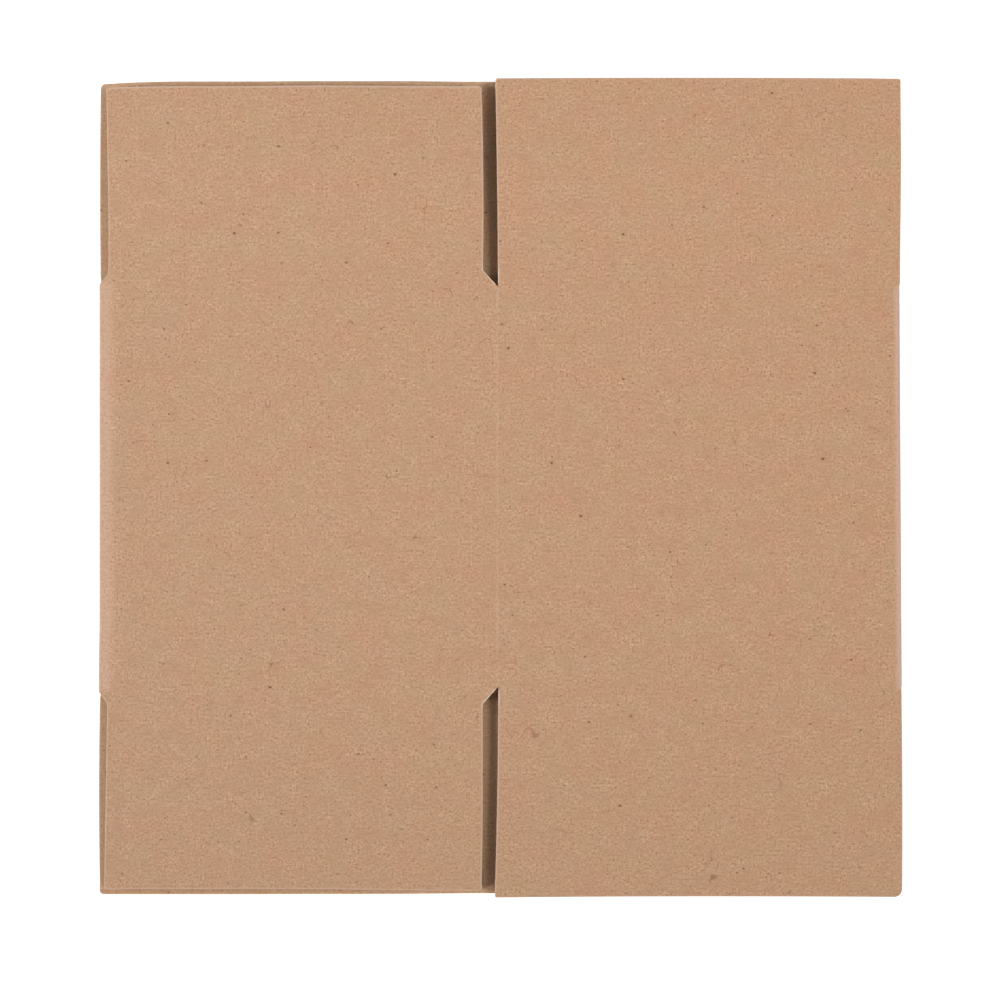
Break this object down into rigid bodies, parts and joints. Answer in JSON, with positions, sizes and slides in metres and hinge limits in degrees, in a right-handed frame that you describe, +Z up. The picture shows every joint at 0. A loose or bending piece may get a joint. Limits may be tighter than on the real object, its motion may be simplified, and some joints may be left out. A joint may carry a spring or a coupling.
{
  "type": "flattened cardboard box",
  "caption": "Slotted corrugated shipping box, glued at its side joint and folded flat, with its upper flaps hinged on their creases.",
  "frame": {"origin": "centre of the flat box's footprint, on the surface that it lies on", "axes": "+X across the folded tube, from the gently rolled fold to the tight one; +Y along the height of the box, from its bottom flaps to its top flaps; +Z up through the two plies"},
  "size_m": [0.3126, 0.3184, 0.0078],
  "materials": {
    "kraft_board": "matt brown kraft liner with fine fibres along the board"
  },
  "bodies": {
    "folded_body": {"folded_body": "kraft_board"},
    "top_end_flap": {"top_end_flap": "kraft_board"},
    "top_side_flap": {"top_side_flap": "kraft_board"},
    "bottom_end_flap": {"bottom_end_flap": "kraft_board"},
    "bottom_side_flap": {"bottom_side_flap": "kraft_board"}
  },
  "joints": [
    {"name": "top_end_flap_crease", "type": "hinge", "parent": "folded_body", "child": "top_end_flap", "pos_m": [-0.0785, 0.0777, 0.0078], "axis": [1, 0, 0], "range_deg": [0, 170]},
    {"name": "top_side_flap_crease", "type": "hinge", "parent": "folded_body", "child": "top_side_flap", "pos_m": [0.0778, 0.0807, 0.0078], "axis": [1, 0, 0], "range_deg": [0, 170]},
    {"name": "bottom_end_flap_crease", "type": "hinge", "parent": "folded_body", "child": "bottom_end_flap", "pos_m": [-0.0785, -0.0777, 0.0078], "axis": [-1, 0, 0], "range_deg": [0, 170]},
    {"name": "bottom_side_flap_crease", "type": "hinge", "parent": "folded_body", "child": "bottom_side_flap", "pos_m": [0.0778, -0.0807, 0.0078], "axis": [-1, 0, 0], "range_deg": [0, 170]}
  ]
}
